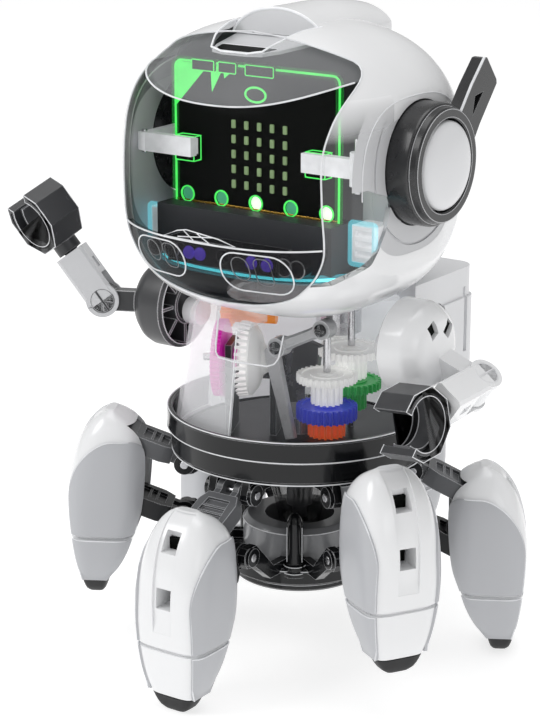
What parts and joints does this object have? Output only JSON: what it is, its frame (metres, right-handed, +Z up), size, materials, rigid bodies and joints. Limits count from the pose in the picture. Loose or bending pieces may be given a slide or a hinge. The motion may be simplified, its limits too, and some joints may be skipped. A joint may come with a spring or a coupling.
{
  "type": "six-legged walking robot kit",
  "caption": "Six-legged walking robot with round visored head, clear waist over gear trains, two arms with open ring hands, and legs on parallel links.",
  "frame": {"origin": "on the floor, under the middle of the whole robot's box", "axes": "+Z up; the robot faces -Y and its left side is +X"},
  "size_m": [0.1429, 0.1274, 0.1792],
  "materials": {
    "white_shell": "smooth glossy white plastic",
    "grey_panel": "satin light grey plastic",
    "dark": "satin near-black plastic",
    "rubber": "matt black rubber",
    "clear_shell": "clear tinted plastic",
    "smoke": "smoked clear plastic",
    "board": "black circuit board with gold contacts",
    "magenta": "moulded magenta plastic",
    "orange": "moulded orange plastic",
    "red": "moulded orange-red plastic",
    "white_gear": "moulded white plastic",
    "blue": "moulded blue plastic",
    "green": "moulded green plastic",
    "metal": "plated motor can"
  },
  "bodies": {
    "base": {"base_ring": "dark", "lower_hub": "dark"},
    "upper_body": {"waist_shell": "clear_shell", "battery_case": "grey_panel", "gearbox_frame": "grey_panel", "arm_motor": "metal", "walk_motor": "metal", "head_shell": "white_shell", "head_crest": "white_shell", "visor": "smoke", "ear_ring_left": "dark", "ear_ring_right": "dark", "controller_board": "board", "edge_connector": "dark", "main_board": "board", "sensor_module": "dark"},
    "upper_link_0": {"upper_link_0": "dark"},
    "lower_link_0": {"lower_link_0": "dark"},
    "leg_0": {"leg_shell_0": "white_shell", "leg_foot_0": "rubber"},
    "upper_link_1": {"upper_link_1": "dark"},
    "lower_link_1": {"lower_link_1": "dark"},
    "leg_1": {"leg_shell_1": "white_shell", "leg_foot_1": "rubber"},
    "upper_link_2": {"upper_link_2": "dark"},
    "lower_link_2": {"lower_link_2": "dark"},
    "leg_2": {"leg_shell_2": "white_shell", "leg_foot_2": "rubber"},
    "upper_link_3": {"upper_link_3": "dark"},
    "lower_link_3": {"lower_link_3": "dark"},
    "leg_3": {"leg_shell_3": "white_shell", "leg_foot_3": "rubber"},
    "upper_link_4": {"upper_link_4": "dark"},
    "lower_link_4": {"lower_link_4": "dark"},
    "leg_4": {"leg_shell_4": "white_shell", "leg_foot_4": "rubber"},
    "upper_link_5": {"upper_link_5": "dark"},
    "lower_link_5": {"lower_link_5": "dark"},
    "leg_5": {"leg_shell_5": "white_shell", "leg_foot_5": "rubber"},
    "top": {"top_gear": "white_gear"},
    "middle": {"middle_gear": "white_gear"},
    "green": {"green_gear": "green"},
    "blue": {"blue_gear": "blue", "red_pinion": "red"},
    "drive_cone": {"drive_cone": "dark"},
    "motor_pinion": {"motor_pinion": "white_gear"},
    "arm_shaft": {"magenta_gear": "magenta", "crown_gear": "white_gear"},
    "orange": {"orange_pinion": "orange"},
    "ear_cap_left": {"ear_cap_left": "white_shell"},
    "button_lever_left": {"button_lever_left": "white_shell"},
    "ear_cap_right": {"ear_cap_right": "white_shell"},
    "button_lever_right": {"button_lever_right": "white_shell"},
    "upper_arm_left": {"upper_arm_left": "white_shell"},
    "forearm_left": {"forearm_left": "white_shell"},
    "hand_left": {"hand_left": "dark"},
    "upper_arm_right": {"upper_arm_right": "white_shell"},
    "forearm_right": {"forearm_right": "white_shell"},
    "hand_right": {"hand_right": "dark"}
  },
  "joints": [
    {"name": "body_turn", "type": "hinge", "parent": "base", "child": "upper_body", "pos_m": [0.0106, -0.0004, 0.062], "axis": [0, 0, 1], "continuous": true},
    {"name": "lift_0", "type": "hinge", "parent": "base", "child": "upper_link_0", "pos_m": [0.0106, -0.0317, 0.0532], "axis": [-1, 0, 0], "range_deg": [0, 47]},
    {"name": "leg_level_0", "type": "hinge", "parent": "upper_link_0", "child": "leg_0", "pos_m": [0.0106, -0.04685, 0.04548], "axis": [-1, 0, 0], "range_deg": [-47.1, 0]},
    {"name": "lower_lift_0", "type": "hinge", "parent": "base", "child": "lower_link_0", "pos_m": [0.0106, -0.0329, 0.036], "axis": [-1, 0, 0], "range_deg": [0, 47.1]},
    {"name": "lift_1", "type": "hinge", "parent": "base", "child": "upper_link_1", "pos_m": [0.03771, -0.01605, 0.0532], "axis": [-0.5, -0.866, 0], "range_deg": [-47.1, 0]},
    {"name": "leg_level_1", "type": "hinge", "parent": "upper_link_1", "child": "leg_1", "pos_m": [0.05154, -0.02403, 0.05903], "axis": [-0.5, -0.866, 0], "range_deg": [0, 47.1]},
    {"name": "lower_lift_1", "type": "hinge", "parent": "base", "child": "lower_link_1", "pos_m": [0.03875, -0.01665, 0.036], "axis": [-0.5, -0.866, 0], "range_deg": [-47.1, 0]},
    {"name": "lift_2", "type": "hinge", "parent": "base", "child": "upper_link_2", "pos_m": [0.03771, 0.01525, 0.0532], "axis": [0.5, -0.866, 0], "range_deg": [0, 47.1]},
    {"name": "leg_level_2", "type": "hinge", "parent": "upper_link_2", "child": "leg_2", "pos_m": [0.05082, 0.02282, 0.04548], "axis": [0.5, -0.866, 0], "range_deg": [-47.1, 0]},
    {"name": "lower_lift_2", "type": "hinge", "parent": "base", "child": "lower_link_2", "pos_m": [0.03875, 0.01585, 0.036], "axis": [0.5, -0.866, 0], "range_deg": [0, 47.1]},
    {"name": "lift_3", "type": "hinge", "parent": "base", "child": "upper_link_3", "pos_m": [0.0106, 0.0309, 0.0532], "axis": [1, 0, 0], "range_deg": [-47.1, 0]},
    {"name": "leg_level_3", "type": "hinge", "parent": "upper_link_3", "child": "leg_3", "pos_m": [0.0106, 0.04687, 0.05903], "axis": [1, 0, 0], "range_deg": [0, 47.1]},
    {"name": "lower_lift_3", "type": "hinge", "parent": "base", "child": "lower_link_3", "pos_m": [0.0106, 0.0321, 0.036], "axis": [1, 0, 0], "range_deg": [-47.1, 0]},
    {"name": "lift_4", "type": "hinge", "parent": "base", "child": "upper_link_4", "pos_m": [-0.01651, 0.01525, 0.0532], "axis": [0.5, 0.866, 0], "range_deg": [0, 47.1]},
    {"name": "leg_level_4", "type": "hinge", "parent": "upper_link_4", "child": "leg_4", "pos_m": [-0.02962, 0.02282, 0.04548], "axis": [0.5, 0.866, 0], "range_deg": [-47.1, 0]},
    {"name": "lower_lift_4", "type": "hinge", "parent": "base", "child": "lower_link_4", "pos_m": [-0.01755, 0.01585, 0.036], "axis": [0.5, 0.866, 0], "range_deg": [0, 47.1]},
    {"name": "lift_5", "type": "hinge", "parent": "base", "child": "upper_link_5", "pos_m": [-0.01651, -0.01605, 0.0532], "axis": [-0.5, 0.866, 0], "range_deg": [-47.1, 0]},
    {"name": "leg_level_5", "type": "hinge", "parent": "upper_link_5", "child": "leg_5", "pos_m": [-0.03034, -0.02403, 0.05903], "axis": [-0.5, 0.866, 0], "range_deg": [0, 47.1]},
    {"name": "lower_lift_5", "type": "hinge", "parent": "base", "child": "lower_link_5", "pos_m": [-0.01755, -0.01665, 0.036], "axis": [-0.5, 0.866, 0], "range_deg": [-47.1, 0]},
    {"name": "top_spin", "type": "hinge", "parent": "upper_body", "child": "top", "pos_m": [0.0194, 0.0116, 0.082], "axis": [0, 0, 1], "continuous": true},
    {"name": "middle_spin", "type": "hinge", "parent": "upper_body", "child": "middle", "pos_m": [0.0194, -0.0004, 0.077], "axis": [0, 0, 1], "continuous": true},
    {"name": "green_spin", "type": "hinge", "parent": "upper_body", "child": "green", "pos_m": [0.0194, 0.0116, 0.073], "axis": [0, 0, 1], "continuous": true},
    {"name": "blue_spin", "type": "hinge", "parent": "upper_body", "child": "blue", "pos_m": [0.0194, -0.0004, 0.069], "axis": [0, 0, 1], "continuous": true},
    {"name": "drive_cone_spin", "type": "hinge", "parent": "upper_body", "child": "drive_cone", "pos_m": [0.0106, -0.0004, 0.06], "axis": [0, 0, 1], "continuous": true},
    {"name": "motor_pinion_spin", "type": "hinge", "parent": "upper_body", "child": "motor_pinion", "pos_m": [0.00973, 0.01998, 0.082], "axis": [0, 0, 1], "continuous": true},
    {"name": "arm_shaft_spin", "type": "hinge", "parent": "upper_body", "child": "arm_shaft", "pos_m": [-0.00299, -0.00674, 0.0815], "axis": [0.9063, 0.4226, 0], "continuous": true},
    {"name": "orange_spin", "type": "hinge", "parent": "upper_body", "child": "orange", "pos_m": [-0.0076, 0.00078, 0.0919], "axis": [0.9063, 0.4226, 0], "continuous": true},
    {"name": "ear_button_left", "type": "slide", "parent": "upper_body", "child": "ear_cap_left", "axis": [-1, 0, 0], "range_m": [0, 0.0015], "stiffness_N_per_m": 250},
    {"name": "lever_left", "type": "hinge", "parent": "upper_body", "child": "button_lever_left", "pos_m": [0.0442, -0.0248, 0.1434], "axis": [0, 0, -1], "range_deg": [0, 2]},
    {"name": "ear_button_right", "type": "slide", "parent": "upper_body", "child": "ear_cap_right", "axis": [1, 0, 0], "range_m": [0, 0.0015], "stiffness_N_per_m": 250},
    {"name": "lever_right", "type": "hinge", "parent": "upper_body", "child": "button_lever_right", "pos_m": [-0.023, -0.0248, 0.1434], "axis": [0, 0, 1], "range_deg": [0, 2]},
    {"name": "shoulder_left", "type": "hinge", "parent": "upper_body", "child": "upper_arm_left", "pos_m": [0.0486, -0.0054, 0.0935], "axis": [-1, 0, 0], "range_deg": [0, 70]},
    {"name": "elbow_left", "type": "hinge", "parent": "upper_arm_left", "child": "forearm_left", "pos_m": [0.06434, 0.00258, 0.08307], "axis": [-0.5949, 0.1394, -0.7916], "range_deg": [-90, 4]},
    {"name": "wrist_left", "type": "hinge", "parent": "forearm_left", "child": "hand_left", "pos_m": [0.06289, -0.01327, 0.08137], "axis": [-0.0909, -0.9902, -0.1061], "range_deg": [-90, 90]},
    {"name": "shoulder_right", "type": "hinge", "parent": "upper_body", "child": "upper_arm_right", "pos_m": [-0.0274, -0.0054, 0.0935], "axis": [-1, 0, 0], "range_deg": [-40, 25]},
    {"name": "elbow_right", "type": "hinge", "parent": "upper_arm_right", "child": "forearm_right", "pos_m": [-0.04503, -0.01585, 0.09412], "axis": [-0.509, 0.8504, -0.133], "range_deg": [-50, 8]},
    {"name": "wrist_right", "type": "hinge", "parent": "forearm_right", "child": "hand_right", "pos_m": [-0.054, -0.01922, 0.10693], "axis": [-0.5606, -0.2102, 0.8009], "range_deg": [-90, 90]}
  ],
  "couplings": [
    {"joint": "leg_level_0", "follows": "lift_0", "ratio": -1},
    {"joint": "lower_lift_0", "follows": "lift_0", "ratio": 1},
    {"joint": "lift_1", "follows": "lift_0", "ratio": -1},
    {"joint": "leg_level_1", "follows": "lift_0", "ratio": 1},
    {"joint": "lower_lift_1", "follows": "lift_0", "ratio": -1},
    {"joint": "lift_2", "follows": "lift_0", "ratio": 1},
    {"joint": "leg_level_2", "follows": "lift_0", "ratio": -1},
    {"joint": "lower_lift_2", "follows": "lift_0", "ratio": 1},
    {"joint": "lift_3", "follows": "lift_0", "ratio": -1},
    {"joint": "leg_level_3", "follows": "lift_0", "ratio": 1},
    {"joint": "lower_lift_3", "follows": "lift_0", "ratio": -1},
    {"joint": "lift_4", "follows": "lift_0", "ratio": 1},
    {"joint": "leg_level_4", "follows": "lift_0", "ratio": -1},
    {"joint": "lower_lift_4", "follows": "lift_0", "ratio": 1},
    {"joint": "lift_5", "follows": "lift_0", "ratio": -1},
    {"joint": "leg_level_5", "follows": "lift_0", "ratio": 1},
    {"joint": "lower_lift_5", "follows": "lift_0", "ratio": -1},
    {"joint": "middle_spin", "follows": "top_spin", "ratio": -0.5},
    {"joint": "green_spin", "follows": "top_spin", "ratio": 0.25},
    {"joint": "blue_spin", "follows": "top_spin", "ratio": -0.125},
    {"joint": "drive_cone_spin", "follows": "top_spin", "ratio": 0.15},
    {"joint": "motor_pinion_spin", "follows": "top_spin", "ratio": -2.2},
    {"joint": "orange_spin", "follows": "arm_shaft_spin", "ratio": -3.25},
    {"joint": "lever_left", "follows": "ear_button_left", "rad_per_m": 23.2},
    {"joint": "lever_right", "follows": "ear_button_right", "rad_per_m": 23.2}
  ]
}
